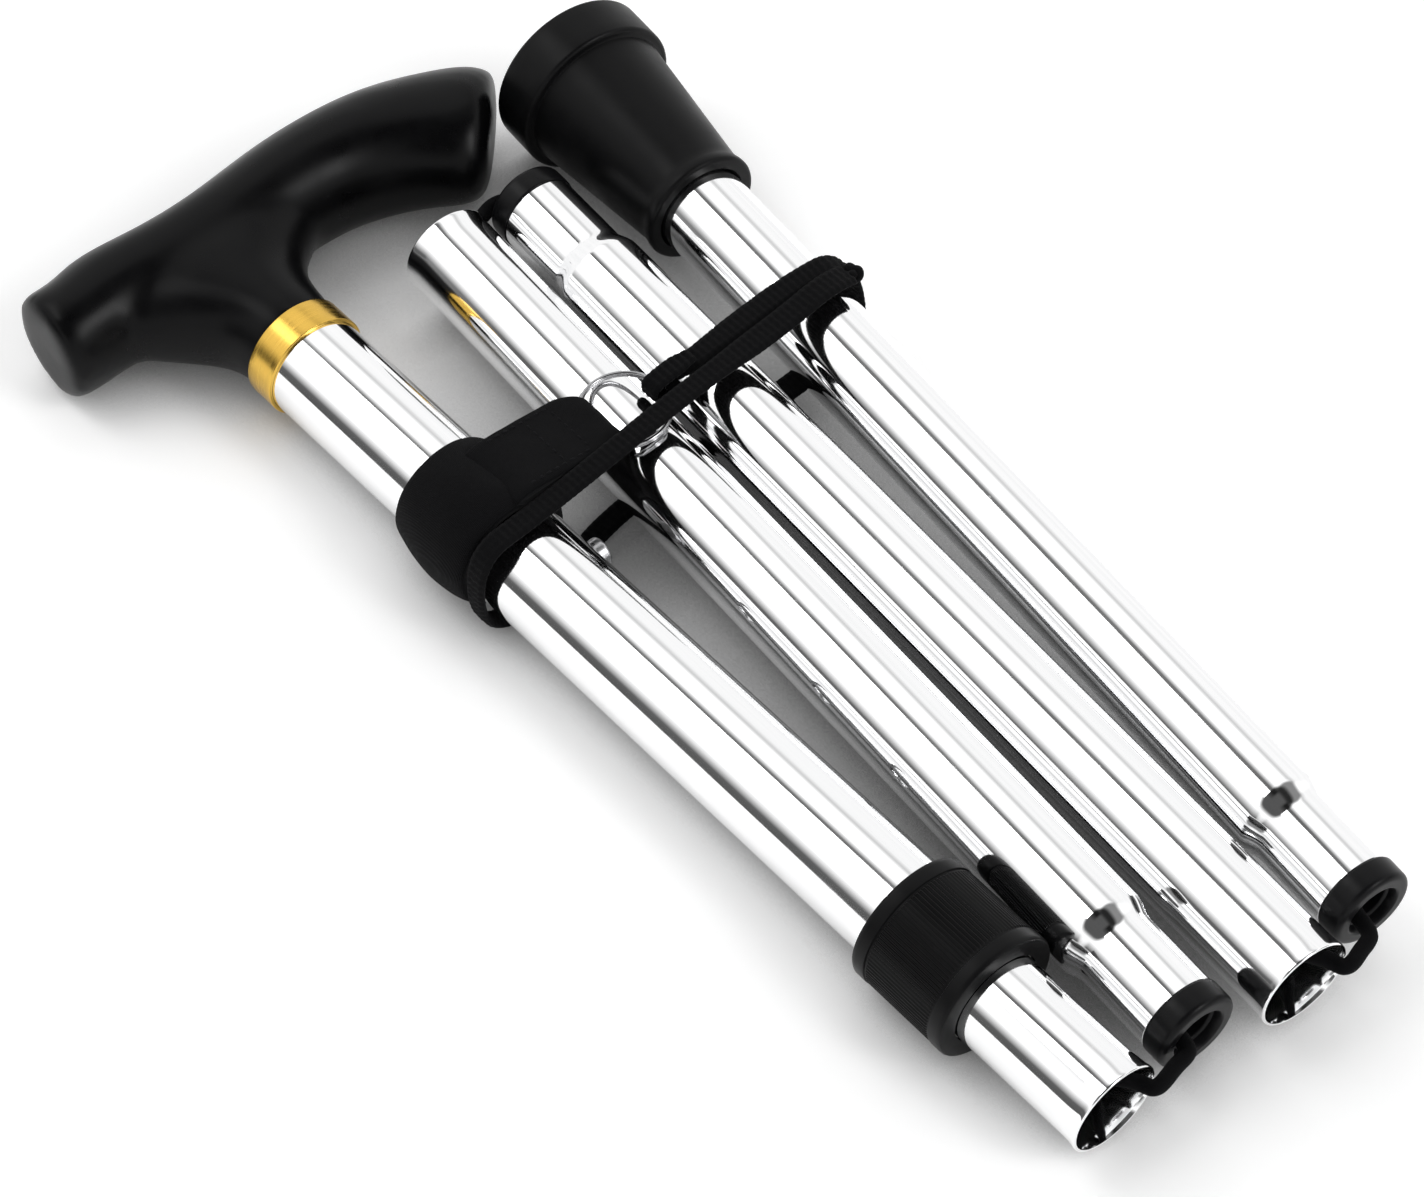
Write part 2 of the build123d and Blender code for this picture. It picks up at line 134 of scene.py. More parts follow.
# ---------------------------------------------------------------- camera
CAMERA_PLACE = Vector((494.5, -330.1, 712.1))              # from the collar ring's rim, over the floor
CAMERA_LOOK = Vector((-0.45359, 0.40081, -0.79600))
CAMERA_UP = Vector((-0.59929, 0.52389, 0.60530))
SENSOR, LENS = 36.0, 114.38
FLOOR_TO_AXIS = 14.0


def make_camera():
    data = bpy.data.cameras.new("camera")
    data.sensor_width, data.lens = SENSOR, LENS
    data.clip_start, data.clip_end = 0.05, 20.0
    cam = link("camera", data)
    back = -CAMERA_LOOK.normalized()
    right = CAMERA_UP.cross(back).normalized()
    foot = Vector((ORIGIN.x, ORIGIN.y, ORIGIN.z - FLOOR_TO_AXIS * MM))
    cam.matrix_world = axes_at(foot + CAMERA_PLACE * MM, right, back.cross(right), back)
    bpy.context.scene.camera = cam


make_camera()

# ---------------------------------------------------------------- mesh helpers
WELD = 1e-7                                                # points nearer than this are one, in metres


def shade_smooth(mesh):
    mesh.polygons.foreach_set("use_smooth", [True] * len(mesh.polygons))


def add_mesh(name, verts, faces):
    """Smooth mesh with doubled points welded and every face turned outwards."""
    mesh = bpy.data.meshes.new(name)
    mesh.from_pydata([tuple(v) for v in verts], [], faces)
    mesh.validate()
    mesh.update()
    obj = link(name, mesh)
    shade_smooth(mesh)
    bm = bmesh.new()
    bm.from_mesh(mesh)
    bmesh.ops.remove_doubles(bm, verts=bm.verts, dist=WELD)
    bmesh.ops.recalc_face_normals(bm, faces=bm.faces)
    bm.to_mesh(mesh)
    bm.free()
    mesh.update()
    return obj


def sharpen(obj, degrees=35):
    """Smooth shading with crisp edges above an angle."""
    mesh = obj.data
    shade_smooth(mesh)
    bm = bmesh.new()
    bm.from_mesh(mesh)
    for e in bm.edges:
        e.smooth = len(e.link_faces) != 2 or e.calc_face_angle(0.0) < math.radians(degrees)
    bm.to_mesh(mesh)
    bm.free()
    mesh.update()


def apply_modifiers(obj):
    depsgraph = bpy.context.evaluated_depsgraph_get()
    mesh = bpy.data.meshes.new_from_object(obj.evaluated_get(depsgraph))
    obj.modifiers.clear()
    obj.data = mesh
    return obj


def cut_away(obj, matrix):
    """Take the object that was added last, at this matrix, out of another, and delete it."""
    cutter = bpy.context.object
    cutter.matrix_world = matrix
    bpy.context.view_layer.update()
    cut = obj.modifiers.new("cut", "BOOLEAN")
    cut.operation, cut.solver, cut.object = "DIFFERENCE", "EXACT", cutter
    apply_modifiers(obj)
    bpy.data.objects.remove(cutter)


def circle(count):
    """Cosine and sine at each step once round."""
    return [(math.cos(2 * math.pi * i / count), math.sin(2 * math.pi * i / count)) for i in range(count)]


def grid_faces(rows, around, closed=False, start=0):
    """Quads between rows of points that each go once round; closed joins the last row to the first."""
    faces = []
    for j in range(rows if closed else rows - 1):
        this, after = start + j * around, start + (j + 1) % rows * around
        for i in range(around):
            n = (i + 1) % around
            faces.append((this + i, this + n, after + n, after + i))
    return faces


def end_caps(rows, around, start=0):
    """Polygons that close the first row and the last."""
    last = start + (rows - 1) * around
    return [tuple(range(start + around - 1, start - 1, -1)), tuple(range(last, last + around))]


def lathe(name, profile, matrix, segments):
    """Solid of revolution about the matrix's X axis from a closed profile of (x, radius) in millimetres."""
    verts = [matrix @ Vector((x * MM, r * c * MM, r * s * MM)) for x, r in profile for c, s in circle(segments)]
    return add_mesh(name, verts, grid_faces(len(profile), segments, closed=True))


def arc(cx, cr, radius, start, end, steps=6):
    """Points of an arc in a lathe profile, by angles in degrees from +X towards +radius."""
    out = []
    for i in range(steps + 1):
        a = math.radians(start + (end - start) * i / steps)
        out.append((cx + radius * math.cos(a), cr + radius * math.sin(a)))
    return out


def stations(start, end, step):
    """Even places between two ends, about a step apart, without the ends."""
    count = max(1, round(abs(end - start) / step))
    return [start + (end - start) * i / count for i in range(1, count)]


# ---------------------------------------------------------------- node materials
NOISE_ROUGHNESS = 0.55


def add_node(tree, kind, values=None, **props):
    """Shader node with its properties, and its inputs set to values or linked to sockets."""
    node = tree.nodes.new(kind)
    for key, value in props.items():
        setattr(node, key, value)
    for key, value in (values or {}).items():
        if isinstance(value, bpy.types.NodeSocket):
            tree.links.new(value, node.inputs[key])
        else:
            node.inputs[key].default_value = value
    return node


def material(name, base, rough, metallic=0.0, **sockets):
    mat = bpy.data.materials.new(name)
    mat.use_nodes = True
    bsdf = mat.node_tree.nodes["Principled BSDF"]
    bsdf.inputs["Base Color"].default_value = (*base, 1)
    bsdf.inputs["Roughness"].default_value = rough
    bsdf.inputs["Metallic"].default_value = metallic
    for key, value in sockets.items():
        bsdf.inputs[key.replace("_", " ")].default_value = value
    return mat


class Nodes:
    """Small helper that adds linked nodes to a material."""

    def __init__(self, mat):
        self.tree = mat.node_tree
        self.bsdf = self.tree.nodes["Principled BSDF"]

    def add(self, kind, values=None, **props):
        return add_node(self.tree, kind, values, **props)

    def to(self, socket, key):
        self.tree.links.new(socket, self.bsdf.inputs[key])

    def coords(self, scale=(1, 1, 1), matrix=None):
        """Object coordinates, turned to the axes of a section where a matrix is given, and scaled."""
        source = self.add("ShaderNodeTexCoord").outputs["Object"]
        if matrix is not None:
            turn = matrix.inverted().to_euler()
            source = self.add("ShaderNodeMapping", {"Vector": source, "Rotation": turn}).outputs[0]
        return self.add("ShaderNodeMapping", {"Vector": source, "Scale": scale}).outputs[0]

    def noise(self, vector, scale, detail):
        values = {"Vector": vector, "Scale": scale, "Detail": detail, "Roughness": NOISE_ROUGHNESS}
        return self.add("ShaderNodeTexNoise", values).outputs["Fac"]

    def span(self, value, low, high, to_low=0.0, to_high=1.0):
        values = {"Value": value, "From Min": low, "From Max": high, "To Min": to_low, "To Max": to_high}
        return self.add("ShaderNodeMapRange", values).outputs[0]

    def math(self, operation, a, b):
        return self.add("ShaderNodeMath", {0: a, 1: b}, operation=operation).outputs[0]

    def mix(self, factor, a, b):
        return self.add("ShaderNodeMix", {0: factor, 6: (*a, 1), 7: (*b, 1)}, data_type="RGBA").outputs[2]

    def bump(self, height, strength, distance):
        node = self.add("ShaderNodeBump", {"Height": height, "Strength": strength, "Distance": distance})
        self.to(node.outputs[0], "Normal")


def aluminium(name, matrix):
    """Polished tube: faint drawing lines along the axis, a little haze and small marks."""
    mat = material(name, (0.93, 0.93, 0.94), 0.07, 1.0)
    n = Nodes(mat)
    lines = n.noise(n.coords((6, 900, 900), matrix), 1.0, 3.0)
    haze = n.noise(n.coords((40, 160, 160), matrix), 1.0, 4.0)
    marks = n.span(n.noise(n.coords((500, 1500, 1500), matrix), 1.0, 2.0), 0.70, 0.76)
    rough = n.math("ADD", n.span(haze, 0.35, 0.75, 0.045, 0.11), n.math("MULTIPLY", marks, 0.10))
    n.to(rough, "Roughness")
    n.to(n.mix(n.span(lines, 0.35, 0.7), (0.985, 0.985, 0.99), (0.93, 0.935, 0.94)), "Base Color")
    n.bump(lines, 0.035, 0.00002)
    return mat


def moulded(name, base, rough, grain, strength, shine):
    """Moulded plastic or rubber: fine spark grain, soft wear and a little dust."""
    mat = material(name, base, rough, Specular_IOR_Level=shine)
    n = Nodes(mat)
    fine = n.noise(n.coords(), grain, 3.0)
    broad = n.noise(n.coords(), 90.0, 5.0)
    n.to(n.span(broad, 0.3, 0.7, rough - 0.06, rough + 0.08), "Roughness")
    light = tuple(c * 1.5 + 0.001 for c in base)
    n.to(n.mix(n.span(broad, 0.35, 0.8), base, light), "Base Color")
    n.bump(fine, strength, 0.00006)
    return mat


def metal(name, base, rough, streak=(60, 1400, 1400), matrix=None, strength=0.05):
    """Plain metal with fine lines, which the streak's three scales draw out one way."""
    mat = material(name, base, rough, 1.0)
    n = Nodes(mat)
    lines = n.noise(n.coords(streak, matrix), 1.0, 3.0)
    n.to(n.span(lines, 0.3, 0.7, rough - 0.05, rough + 0.07), "Roughness")
    n.to(n.mix(n.span(lines, 0.3, 0.7), tuple(c * 0.86 for c in base), base), "Base Color")
    n.bump(lines, strength, 0.00003)
    return mat


def woven(name, base, pitch):
    """Black webbing or braid: crossing yarns with a sheen, painted shade where the yarns sink and a painted
    highlight on their tops.
    """
    mat = material(name, base, 0.8, Sheen_Weight=0.04, Sheen_Roughness=0.5, Specular_IOR_Level=0.03)
    n = Nodes(mat)
    yarn = {"Vector": n.coords((1 / pitch, 1 / pitch, 1 / pitch), PLANE), "Scale": 1.0, "Distortion": 0.4}
    a, b = (n.add("ShaderNodeTexWave", yarn, bands_direction=way).outputs["Fac"] for way in ("X", "Y"))
    fuzz = n.noise(n.coords(), 5200.0, 3.0)
    height = n.math("ADD", n.math("MAXIMUM", a, b), n.math("MULTIPLY", fuzz, 0.6))
    n.bump(height, 0.55, 0.00018)
    # Partly painted shade and highlight: the colour goes dark where the yarns sink and light on their tops, with
    # random fuzz over it
    light = tuple(c * 1.9 + 0.001 for c in base)
    n.to(n.mix(n.span(height, 0.6, 1.5), tuple(c * 0.5 for c in base), light), "Base Color")
    return mat


ALU = [aluminium("aluminium_upper", PLANE)] + [aluminium(f"aluminium_{n + 1}", SECTIONS[n]) for n in range(3)]
HANDLE_BLACK = moulded("handle_satin", (0.002, 0.002, 0.0023), 0.30, 3200.0, 0.08, 0.12)
COLLAR_BLACK = moulded("collar_satin", (0.003, 0.003, 0.0033), 0.38, 2600.0, 0.10, 0.12)
RING_BLACK = moulded("ring_satin", (0.0035, 0.0035, 0.004), 0.32, 2600.0, 0.10, 0.14)
RUBBER = moulded("tip_rubber_matte", (0.003, 0.003, 0.0033), 0.38, 1800.0, 0.14, 0.12)
NYLON = moulded("nylon_white", (0.62, 0.62, 0.60), 0.45, 1800.0, 0.10, 0.5)
GOLD = metal("gold_anodised", (0.83, 0.52, 0.10), 0.24, (1500, 60, 60), PLANE, 0.012)
STEEL = metal("steel_plain", (0.60, 0.60, 0.61), 0.30)
CHROME = metal("ring_chrome", (0.42, 0.42, 0.43), 0.14, (900, 900, 900))
WEBBING = woven("strap_webbing", (0.0045, 0.0045, 0.005), 0.0009)
BRAID = woven("cord_yarn", (0.0045, 0.0045, 0.005), 0.0006)
ELASTIC = woven("elastic_cover", (0.0035, 0.0035, 0.004), 0.0005)
THREAD = woven("stitch_thread", (0.009, 0.009, 0.010), 0.0003)


def paint(obj, mat):
    obj.data.materials.clear()
    obj.data.materials.append(mat)


def piece(obj, body, mat, slot, *nodes):
    """Finish a piece: material, the CAD nodes that it stands for, and the body that it rides on; slot is not used.
    """
    paint(obj, mat)
    if nodes:
        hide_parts(*nodes)
    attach(obj, body)
    return obj


# ---------------------------------------------------------------- wrist cord, a flat braid
CORD_ROUTE = (
    (57.5, 46.0, 11.3), (57.0, 60.0, 11.5), (56.6, 79.0, 11.7), (58.4, 92.4, 11.4), (61.0, 92.6, -11.6),
    (61.8, 79.0, -12.0), (60.9, 27.0, -12.4), (66.2, 8.0, -12.5), (66.6, -12.8, -12.3), (66.4, -12.8, 12.9),
    (66.2, 4.0, 12.9), (65.6, 24.0, 14.1), (64.0, 45.0, 13.8), (63.3, 70.0, 13.1), (62.6, 83.5, 14.0),
    (62.3, 88.2, 11.6),
)
CORD_WIDTH, CORD_THICKNESS, CORD_STEP = 5.2, 1.8, 0.0004
HITCH_ROUTE = (
    (57.4, 51.0, 13.3), (57.4, 47.0, 13.35), (57.4, 43.4, 13.2), (57.4, 40.4, 12.6), (57.4, 39.9, 10.85),
    (57.4, 40.6, 8.9), (57.4, 43.8, 9.1), (57.4, 46.3, 10.6),
)
HITCH_WIDTH, HITCH_THICKNESS, HITCH_STEP = 4.9, 1.55, 0.00025
PLAIT = 1.5                                                # length of one plait of the braid
SPREAD, SPREAD_FROM, SPREAD_OVER = 0.17, 50.0, 14.0        # the braid's widening over the last tubes
KNOT_SIZE, KNOT_CORD, KNOT_GAP = 0.48, 0.95, 1.7


def spline_points(name, places, order=3, resolution=14):
    """Points along the NURBS spline whose control points are these places of the row frame."""
    curve = bpy.data.curves.new(name, "CURVE")
    curve.dimensions = "3D"
    curve.resolution_u = resolution
    spline = curve.splines.new("NURBS")
    spline.points.add(len(places) - 1)
    for point, place in zip(spline.points, places):
        point.co = (*place, 1.0)
    spline.order_u = order
    spline.use_endpoint_u = True
    obj = link(name, curve)
    bpy.context.view_layer.update()
    points = [v.co.copy() for v in bpy.data.meshes.new_from_object(obj).vertices]
    bpy.data.objects.remove(obj)
    return points


def resample(points, step):
    """The same line with points an even step apart, and its length."""
    lengths = [0.0]
    for a, b in zip(points, points[1:]):
        lengths.append(lengths[-1] + (b - a).length)
    total, out, j = lengths[-1], [], 0
    count = max(2, round(total / step))
    for i in range(count + 1):
        s = total * i / count
        while j < len(points) - 2 and lengths[j + 1] < s:
            j += 1
        span = lengths[j + 1] - lengths[j]
        out.append(points[j].lerp(points[j + 1], (s - lengths[j]) / span if span else 0))
    return out, total


def heading_at(points, i):
    """Direction of a line at one of its points."""
    return (points[min(i + 1, len(points) - 1)] - points[max(i - 1, 0)]).normalized()


def spread(place):
    """How much wider the braid lies where it is pressed flat over the last tubes."""
    y = (PLANE_BACK @ place).y / MM
    return 1.0 + SPREAD * smoothstep(clamp((y - SPREAD_FROM) / SPREAD_OVER))


def braid(name, points, width, thickness, around=28):
    """Flat braided strap along points: an oval section whose yarns stand out in a chevron pattern."""
    verts = []
    side = Vector((1, 0, 0))
    run = 0.0
    for i, p in enumerate(points):
        along = heading_at(points, i)
        across = (side - along * side.dot(along)).normalized()
        out = along.cross(across).normalized()
        if i:
            run += (p - points[i - 1]).length
        taper = min(1.0, 0.72 + 0.28 * min(run, 0.004) / 0.004)
        phase = run / MM / PLAIT
        for c, s in circle(around):
            u = math.copysign(abs(c) ** 0.75, c)
            w = math.copysign(abs(s) ** 0.62, s)
            face_u = u * 1.6
            weave = math.sin(math.pi * (phase + face_u)) * math.sin(math.pi * (phase - face_u))
            lump = math.copysign(abs(0.24 * weave * abs(w) ** 0.5), w) * (1 if weave > 0 else -1)
            edge = math.copysign(0.10 * math.sin(2 * math.pi * phase) * abs(u) ** 3, u)
            offset = across * ((u * (width / 2 - 0.15) + edge) * MM * taper * spread(p))
            offset += out * ((w * (thickness / 2 - 0.16) + lump) * MM)
            verts.append(p + offset)
    return add_mesh(name, verts, grid_faces(len(points), around) + end_caps(len(points), around))


def tube_along(name, points, radius, around=16):
    """Round cord along points."""
    verts = []
    side = (points[1] - points[0]).orthogonal().normalized()
    for i, p in enumerate(points):
        along = heading_at(points, i)
        side = (side - along * side.dot(along)).normalized()
        top = side.cross(along)
        verts += [p + (side * c + top * s) * radius for c, s in circle(around)]
    return add_mesh(name, verts, grid_faces(len(points), around) + end_caps(len(points), around))


def make_hitch():
    """End of the braid, folded round the split ring and sewn back on itself."""
    line, _ = resample(spline_points("hitch_line", [P(*place) for place in HITCH_ROUTE]), HITCH_STEP)
    return braid("cord_hitch_sewn", line, HITCH_WIDTH, HITCH_THICKNESS)


def make_knot():
    """Small tight knot past the end of the cord: a trefoil whose ends pass each other."""
    heading = (cord_line[-1] - cord_line[-4]).normalized()
    centre = cord_line[-1] + heading * KNOT_GAP * MM
    steps, extra = 100, 4
    points = []
    for i in range(-extra, steps + extra + 1):
        t = 2 * math.pi * i / steps
        loop = Vector((
            math.sin(t) + 2 * math.sin(2 * t), math.cos(t) - 2 * math.cos(2 * t), -1.3 * math.sin(3 * t),
        ))
        points.append(centre + PLANE.to_3x3() @ loop * KNOT_SIZE * MM)
    return tube_along("cord_knot_tied", points, KNOT_CORD * MM)


cord_line, cord_length = resample(spline_points("cord_line", [P(*place) for place in CORD_ROUTE]), CORD_STEP)
wrist_cord = braid("wrist_cord_braid", cord_line, CORD_WIDTH, CORD_THICKNESS)
piece(wrist_cord, "handle_section", BRAID, "cord_fabric", "wrist_cord")
hitch, knot = make_hitch(), make_knot()
piece(hitch, "handle_section", BRAID, "cord_fabric", "cord_hitch")
piece(knot, "handle_section", BRAID, "cord_fabric", "cord_knot")

# ---------------------------------------------------------------- tubes
TUBE_R, TUBE_BORE = 9.8, 9.0
OUTER_R, OUTER_BORE, OUTER_END = 11.0, 9.9, 190.0
INNER_START = 50.0                                         # of the inner tube, inside the outer one
NECK_R, NECK_BORE, SWAGE = 8.6, 7.8, 1.2                   # the swage is what the neck takes off both radii
NECK_START, SHOULDER_START, SHOULDER = 5.5, 22.5, 5.0
NECK_END = SHOULDER_START + SHOULDER
TUBE_STEP, BORED_STEP = 12, 4                              # between a tube's rows of points
BUTTON_X, HOLE_R, HOLE_STEP, HOLES = 74.0, 3.3, 25.0, 4    # the snap button's hole and the height holes
# A mouth's flare outside and inside, as (place from the end, radius)
MOUTH = (
    (-5.0, 9.8), (-4.2, 9.8), (-3.4, 9.81), (-2.6, 9.85), (-1.9, 9.91), (-1.3, 9.98), (-0.8, 10.06),
    (-0.45, 10.1), (-0.22, 10.08), (-0.06, 9.98), (0.0, 9.85), (0.0, 9.70), (-0.02, 9.62),
    (-0.05, 9.55), (-0.5, 9.42), (-1.0, 9.33), (-1.6, 9.24), (-2.3, 9.15), (-3.2, 9.06), (-4.2, 9.01),
    (-5.0, 9.0),
)
MOUTH_DEPTH = 5.0


def mouth_profile(end):
    return [(end + x, r) for x, r in MOUTH]


def neck_profile():
    """Outline of the neck from the inside of the full tube round the end to the outside of the full tube."""
    shoulder = [(SHOULDER_START + SHOULDER * t / 10, smoothstep(t / 10)) for t in range(11)]
    inside = [(x, NECK_BORE + SWAGE * s) for x, s in reversed(shoulder)]
    outside = [(x, NECK_R + SWAGE * s) for x, s in shoulder]
    rim = [(NECK_START, NECK_BORE), (NECK_START, NECK_R - 0.15), (NECK_START + 0.15, NECK_R)]
    return inside + rim + outside


def tube_profile(head, tail, start, end, step=TUBE_STEP, radius=TUBE_R, bore=TUBE_BORE):
    """What begins a tube, its outside from start to end, what ends it there, and its inside back again."""
    outside = [(x, radius) for x in stations(start, end, step)]
    inside = [(x, bore) for x in stations(end, start, step)]
    return head + outside + tail + inside


def turned(name, profile, matrix, body, mat, slot, node, segments=144, crisp=35, holes=()):
    """Finished solid of revolution, with round holes through its +Y wall at the places in holes."""
    obj = lathe(name, profile, matrix, segments)
    for x in holes:
        bpy.ops.mesh.primitive_cylinder_add(vertices=48, radius=HOLE_R * MM, depth=8 * MM)
        place = matrix @ Matrix.Translation(Vector((x, OUTER_R, 0)) * MM)
        cut_away(obj, place @ Matrix.Rotation(math.pi / 2, 4, "X"))
    sharpen(obj, crisp)
    return piece(obj, body, mat, slot, node)


def make_tube(name, profile, matrix, body, mat, holes=()):
    turned(name + "_polished", profile, matrix, body, mat, "polished_aluminium", name, holes=holes)


for number, length in enumerate(SECTION_LENGTHS):
    profile = tube_profile(neck_profile(), mouth_profile(length), NECK_END, length - MOUTH_DEPTH)
    make_tube(f"middle_tube_{number + 1}", profile, SECTIONS[number], SECTION_BODIES[number], ALU[number + 1])

FERRULE_FLOOR, WASHER = 9.0, 1.5                           # rubber and washer under the tip tube
TIP_END = TIP_LENGTH - FERRULE_FLOOR - WASHER
profile = tube_profile(neck_profile(), [(TIP_END, TUBE_R), (TIP_END, TUBE_BORE)], NECK_END, TIP_END)
make_tube("tip_tube", profile, SECTIONS[2], "section_d", ALU[3])

profile = tube_profile(
    [(INNER_START, TUBE_BORE), (INNER_START, TUBE_R)], mouth_profile(INNER_MOUTH),
    INNER_START, INNER_MOUTH - MOUTH_DEPTH, BORED_STEP,
)
make_tube("inner_tube", profile, PLANE, "inner_section", ALU[0], (BUTTON_X,))

profile = tube_profile(
    [(-COLLAR_WIDTH, OUTER_BORE), (-COLLAR_WIDTH, OUTER_R)], [(OUTER_END, OUTER_R), (OUTER_END, OUTER_BORE)],
    -COLLAR_WIDTH, OUTER_END, BORED_STEP, OUTER_R, OUTER_BORE,
)
height_holes = [BUTTON_X + HOLE_STEP * n for n in range(HOLES)]
make_tube("outer_tube", profile, PLANE, "handle_section", ALU[0], height_holes)

# ---------------------------------------------------------------- collar ring, lock collar
COLLAR_R, COLLAR_EDGE, FITTED_BORE = 11.75, 0.25, 11.06    # the fitted bore is close round the outer tube
rim_low, rim_high = -COLLAR_WIDTH + COLLAR_EDGE, -COLLAR_EDGE
profile = [(-COLLAR_WIDTH, FITTED_BORE), (-COLLAR_WIDTH, COLLAR_R - COLLAR_EDGE)]
profile += arc(rim_low, COLLAR_R - COLLAR_EDGE, COLLAR_EDGE, 180, 90, 4)
profile += [(x, COLLAR_R) for x in stations(rim_low, rim_high, 1.5)]
profile += arc(rim_high, COLLAR_R - COLLAR_EDGE, COLLAR_EDGE, 90, 0, 4) + [(0.0, FITTED_BORE)]
turned("collar_ring_gold", profile, LEVEL, "handle_section", GOLD, "gold_trim", "collar_ring", crisp=50)

LOCK_START, LOCK_LENGTH, LOCK_LIP = 175.4, 23.8, 3.4
LOCK_BORE, LOCK_ROOT, LOCK_KNURL, LOCK_R = 11.1, 13.62, 13.75, 14.0
KNURLS = 100
KNURL_SHAPE = (-0.10, 0.13, 0.13, -0.10)                   # of the four points of a knurl, from LOCK_KNURL


def make_lock_collar():
    """Knurled nut: a fine straight knurl between two plain lips, hollow round the tubes."""
    end = LOCK_START + LOCK_LENGTH
    k0, k1 = LOCK_START + LOCK_LIP, end - LOCK_LIP
    first, last = k0 + 0.6, k1 - 0.6
    rows = [
        (LOCK_START, LOCK_BORE, 0), (LOCK_START, 13.4, 0), (LOCK_START + 0.15, 13.75, 0),
        (LOCK_START + 0.55, 13.98, 0), (LOCK_START + 1.2, LOCK_R, 0), (k0 - 0.5, LOCK_R, 0), (k0 - 0.15, 13.94, 0),
        (k0, LOCK_ROOT, 0), (k0 + 0.35, LOCK_ROOT, 0),
    ]
    rows += [(x, LOCK_KNURL, 1) for x in [first] + stations(first, last, 2.5) + [last]]
    rows += [
        (k1 - 0.35, LOCK_ROOT, 0), (k1, LOCK_ROOT, 0), (k1 + 0.15, 13.94, 0), (k1 + 0.5, LOCK_R, 0),
        (end - 1.2, LOCK_R, 0), (end - 0.55, 13.98, 0), (end - 0.15, 13.75, 0), (end, 13.4, 0), (end, 10.1, 0),
        (end - 1.0, 10.1, 0), (end - 1.0, 12.4, 0), (OUTER_END, 12.4, 0), (OUTER_END, LOCK_BORE, 0),
    ]
    segments = KNURLS * len(KNURL_SHAPE)
    verts = []
    for x, r, ridge in rows:
        for i, (c, s) in enumerate(circle(segments)):
            reach = r + KNURL_SHAPE[i % len(KNURL_SHAPE)] * ridge
            verts.append(PLANE @ Vector((x * MM, reach * c * MM, reach * s * MM)))
    obj = add_mesh("lock_collar_knurled", verts, grid_faces(len(rows), segments, closed=True))
    sharpen(obj, 30)
    return obj


piece(make_lock_collar(), "lock_collar", COLLAR_BLACK, "collar_plastic", "lock_collar")

# ---------------------------------------------------------------- end rings
RING_PROFILE = (
    [(13.5, 4.6), (13.5, 7.7), (5.5, 7.7), (5.5, 8.6)]
    + arc(5.0, 8.35, 0.5, 0, 90, 4) + [(3.4, 8.85), (2.2, 8.84)] + arc(1.3, 7.55, 1.28, 90, 180, 8)
    + [(0.0, 7.0), (0.03, 6.4)] + arc(0.5, 6.1, 0.5, 180, 250, 4)
    + [(1.0, 5.35), (1.9, 5.2)] + arc(2.6, 5.2, 0.6, 215, 270, 4) + [(4.6, 4.6)]
)
for number, body in enumerate(SECTION_BODIES):
    name = f"end_ring_{number + 1}"
    turned(name + "_moulded", RING_PROFILE, SECTIONS[number], body, RING_BLACK, "ring_plastic", name, 96, 40)

# ---------------------------------------------------------------- ferrule
FERRULE_LENGTH, BASE_LENGTH, BASE_R, BASE_EDGE = 48.7, 11.0, 18.2, 1.0
FERRULE_BORE, BORE_CORE = 9.87, 0.4                        # the core is the pinhole where the profile closes
CONE_START, CONE_LOW, CONE_HIGH, CONE_END = 4.6, 12.58, 16.1, 0.6
GROOVES, GROOVE_DEPTH = (15.0, 10.5, 6.0), 1.4
mouth = TIP_LENGTH - FERRULE_LENGTH
step = TIP_LENGTH - BASE_LENGTH


def cone(x):
    """Radius of the ferrule's cone, which opens from its lip to its base."""
    return CONE_LOW + (CONE_HIGH - CONE_LOW) * (x - mouth - CONE_START) / (step - mouth - CONE_START - CONE_END)


profile = [(mouth + 2.0, FERRULE_BORE), (mouth + 0.5, 9.95), (mouth, 10.35)] + arc(mouth + 0.9, 12.1, 0.9, 180, 90)
profile += [(mouth + 1.8, 12.94), (mouth + 2.6, 12.74), (mouth + 3.4, 12.6), (mouth + CONE_START, CONE_LOW)]
profile += [(x, cone(x)) for x in stations(mouth + CONE_START, step - CONE_END, 4)]
profile += [(step - CONE_END, 16.15), (step - 0.2, 16.25), (step, 16.6), (step, BASE_R - BASE_EDGE)]
profile += arc(step + BASE_EDGE, BASE_R - BASE_EDGE, BASE_EDGE, 180, 90)
profile += [(x, BASE_R) for x in stations(step + BASE_EDGE, TIP_LENGTH - BASE_EDGE, 2.5)]
profile += arc(TIP_LENGTH - BASE_EDGE, BASE_R - BASE_EDGE, BASE_EDGE, 90, 0)
for r in GROOVES:
    for depth, out in ((0, 1.6), (0.2, 1.5), (GROOVE_DEPTH, 1.35), (GROOVE_DEPTH, 0.25), (0.2, 0.1), (0, 0)):
        profile.append((TIP_LENGTH - depth, r + out))
floor_x = TIP_LENGTH - FERRULE_FLOOR
profile += [(TIP_LENGTH, BORE_CORE), (floor_x, BORE_CORE), (floor_x, FERRULE_BORE)]
turned("ferrule_moulded", profile, SECTIONS[2], "section_d", RUBBER, "tip_rubber", "ferrule", 128, 40)


# ---------------------------------------------------------------- handle, smoothed over the CAD solid
def make_handle():
    obj = link("handle_moulded", NODES["handle"].data.copy())
    remesh = obj.modifiers.new("remesh", "REMESH")
    remesh.mode, remesh.voxel_size = "VOXEL", 0.0011
    smooth = obj.modifiers.new("smooth", "SMOOTH")
    smooth.factor, smooth.iterations = 0.5, 30
    apply_modifiers(obj)
    shade_smooth(obj.data)
    return obj


piece(make_handle(), "handle_section", HANDLE_BLACK, "handle_plastic", "handle")

# ---------------------------------------------------------------- elastic cord
TURN_R = 1.6
TURN_FRONT = (0.0, -0.6, -2.6)                             # how far each turn hangs before its end ring's face


